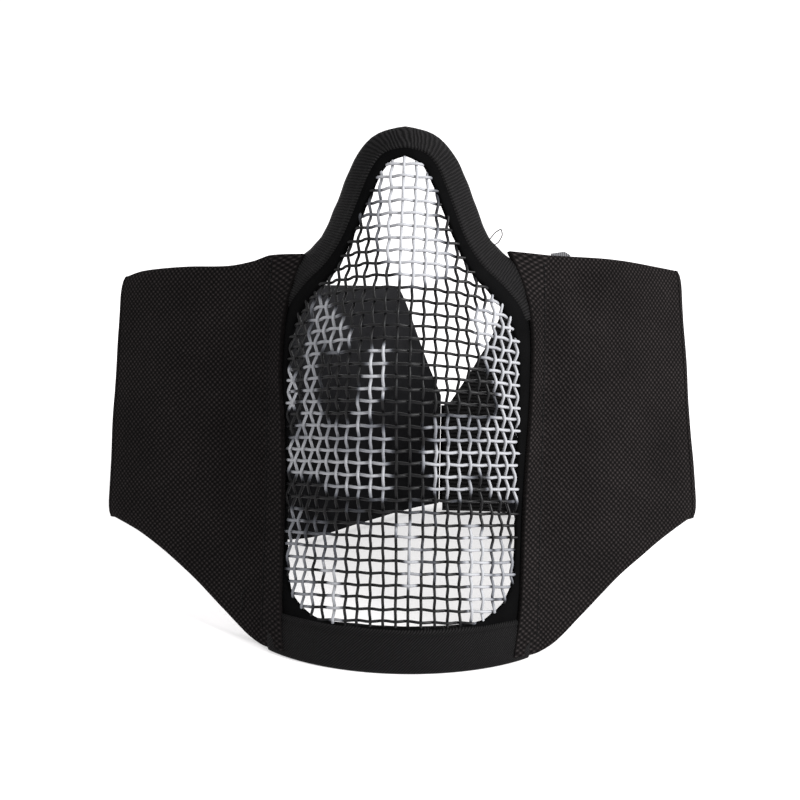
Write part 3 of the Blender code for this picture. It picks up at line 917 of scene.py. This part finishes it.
def build_wing(name, wing):
    split = wing.crease - SPLIT
    cheek = [-HEM_WIDTH, -5.2, -4.0, -2.8, -1.6, -0.8, 0.0, 0.6, 1.4, 2.6, 4.2]
    cheek += list(np.linspace(6.0, split, 22))
    side = wing.side
    build_pad(f"{name}_cheek_pad", wing, cheek, 46, None,
              (f"{name}_front_hem", f"{name}_cheek_shell", f"{name}_cheek_foam",
               f"{name}_cheek_lining"))
    if side > 0:
        low_end, high_end = wing.reach(RIGHT_END_X), wing.reach(RIGHT_END_X + 8.0)
    else:
        low_end, high_end = wing.reach(-CLOSURE_X), wing.reach(13.0)
    ear = list(np.linspace(split, wing.crease + SPLIT, 19)) + list(
        np.linspace(wing.crease + SPLIT, low_end, 34)[1:])

    def limit(s, z):
        cut = min(max((z - STRAP_HIGH - 3.0) / (126.0 - STRAP_HIGH - 3.0), 0.0), 1.0)
        end = low_end + (high_end - low_end) * cut
        share = max(s - wing.crease - SPLIT, 0.0) / (low_end - wing.crease - SPLIT)
        return s + (end - low_end) * share

    build_pad(f"{name}_ear_pad", wing, ear, 34, limit,
              (f"{name}_ear_shell", f"{name}_ear_foam", f"{name}_ear_lining"))


def build_stitches(name, wing):
    """Lock stitches along the hem, one short thread to each bite of the needle."""
    bundle = Bundle()
    bite, gap = 2.3, 0.7
    z = 10.0
    while z < 131.5:
        ends = [z + gap / 2, z + bite / 2, z + bite - gap / 2]
        points = []
        for k, height in enumerate(ends):
            point = wing_skin(wing, -0.6, height, 0.0)
            point.y -= (0.02, 0.2, 0.02)[k]
            points.append(point)
        normals = [Vector((0, -1, 0))] * 3
        verts, faces = tube(points, normals, 0.22, 6)
        bundle.add(verts, faces, [(v.z, v.x, 0) for v in verts])
        z += bite
    piece = bundle.piece(f"{name}_hem_stitches", THREAD)
    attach(piece, "face")


def build_thread(name, points, body, radius=0.17):
    """A loose end of sewing thread through the given worn-frame points."""
    run = []
    for a, b in zip(points, points[1:]):
        run += [Vector(a).lerp(Vector(b), t / 4) for t in range(4)]
    run.append(Vector(points[-1]))
    eased = [run[0]] + [(a + b * 2 + c) / 4 for a, b, c in zip(run, run[1:], run[2:])] + [run[-1]]
    verts, faces = tube(eased, [Vector((0.1, -1.0, 0.1)).normalized()] * len(eased), radius, 7)
    piece = add_piece(name, verts, faces, [THREAD], [(v.z, v.x, 0) for v in verts])
    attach(piece, body)


def build_loose_threads():
    """A small loop at the right end of the nose tape and a short end low on the left wing."""
    loop = [(25.6, 138.0, 1.6), (26.6, 140.4, 3.0), (28.2, 141.6, 3.4), (28.8, 139.6, 3.2),
            (27.8, 137.2, 2.9), (26.6, 136.4, 1.6)]
    build_thread("thread_loop", [face_point(x, z, out) for x, z, out in loop], "face")
    wing = WINGS["left"]
    short = [(7.0, 15.5, 0.0), (6.2, 18.0, -0.7), (6.8, 20.4, -0.9), (5.4, 22.6, -0.8)]
    build_thread("thread_end", [wing.point(s, inward, z) for s, z, inward in short], "left_cheek")


for wing_name, wing_plan in WINGS.items():
    build_wing(wing_name, wing_plan)
    build_stitches(wing_name, wing_plan)
build_loose_threads()


# ---------------------------------------------------------------- closure behind the head
def build_band(name, wing, x_start, x_end, low, high, inward, thick, material, body, replaced,
               rise=0.0, columns=30, rows=18):
    """A flat band of strap or patch with softly rounded edges; rise lifts its starting corner."""
    s0, s1 = wing.reach(x_start * wing.side), wing.reach(x_end * wing.side)
    verts, cloth = [], []
    for depth in (0.0, 1.0):
        for j in range(rows + 1):
            for i in range(columns + 1):
                s = s0 + (s1 - s0) * i / columns
                top = high + rise * max(1.0 - 1.08 * i / columns, 0.0)
                z = low + (top - low) * j / rows
                rim = min(i, columns - i, j, rows - j)
                thin = thick * (0.5 if rim == 0 else 1.0)
                verts.append(wing.point(s, inward + thick / 2 + thin * (depth - 0.5), z))
                cloth.append((z, s, depth * 40))
    piece = add_piece(name, verts, two_skin_faces(columns, rows), [material], cloth)
    recalc(piece)
    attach(piece, body)
    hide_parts(replaced)
    return piece


def build_closure():
    left, right = WINGS["left"], WINGS["right"]
    build_band("rear_elastic", right, RIGHT_END_X + 4, CLOSURE_X + 2.0, STRAP_LOW - 0.1,
               STRAP_HIGH, 3.9, 1.5, ELASTIC, "right_ear", "elastic_strap", STRAP_RISE)
    build_band("loop_pile", right, TAB_END_X, CLOSURE_X + 3.0, STRAP_LOW + 6, STRAP_HIGH - 4,
               2.7, 0.9, PILE, "right_ear", "loop_patch")
    build_band("rear_tab", left, CLOSURE_X + 0.6, TAB_END_X, STRAP_LOW + 3, STRAP_HIGH - 1,
               0.0, 1.2, NYLON, "closure", "closure_tab")
    build_band("hook_pile", left, CLOSURE_X + 4.0, TAB_END_X - 1.0, STRAP_LOW + 6,
               STRAP_HIGH - 4, 1.5, 0.9, PILE, "closure", "hook_patch")


build_closure()


def build_top_tab():
    """Short folded webbing end inside the right wing, just proud of its top edge."""
    wing = WINGS["right"]
    verts = []
    for inward in (5.7, 6.9):
        for s, z in ((4, 122), (11, 122), (11, 135.2), (8.6, 136.3), (4, 135.6)):
            verts.append(wing.point(s, inward, z))
    faces = [(0, 1, 2, 3, 4), (9, 8, 7, 6, 5)]
    faces += [(k, k + 5, (k + 1) % 5 + 5, (k + 1) % 5) for k in range(5)]
    # The black webbing gets the grey colour of its painted highlight.
    piece = add_piece("webbing_end", verts, faces, [WEBBING_PAINTED_HIGHLIGHT],
                      [(v.x, v.z, 0) for v in verts])
    recalc(piece)
    piece.data.shade_flat()
    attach(piece, "right_cheek")
    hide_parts("top_webbing_tab")


build_top_tab()


# ---------------------------------------------------------------- studio
def build_studio():
    bpy.ops.mesh.primitive_grid_add(x_subdivisions=2, y_subdivisions=2, size=12,
                                    location=(0, 0, -0.0002))
    floor = bpy.context.object
    floor.name = "studio_floor"
    floor.data.materials.append(make_floor_material())

    scene = bpy.context.scene
    scene.view_settings.view_transform = "Standard"
    studio = bpy.data.worlds.new("studio")
    scene.world = studio
    studio.use_nodes = True
    background = studio.node_tree.nodes["Background"]
    background.inputs["Color"].default_value = (1.0, 1.0, 1.0, 1.0)
    background.inputs["Strength"].default_value = 1.0

    def area(name, place, size, power):
        light = bpy.data.lights.new(name, "AREA")
        light.size = size
        light.energy = power
        lamp = bpy.data.objects.new(name, light)
        scene.collection.objects.link(lamp)
        lamp.location = place
        aim = Vector((0, 0, 0.07)) - lamp.location
        lamp.rotation_euler = aim.to_track_quat("-Z", "Y").to_euler()

    area("key_light", (1.15, -0.62, 0.8), 0.6, 42)
    area("fill_light", (-1.0, -0.9, 0.7), 1.2, 2)
    area("top_light", (0.1, 0.5, 1.4), 1.0, 8)


build_studio()
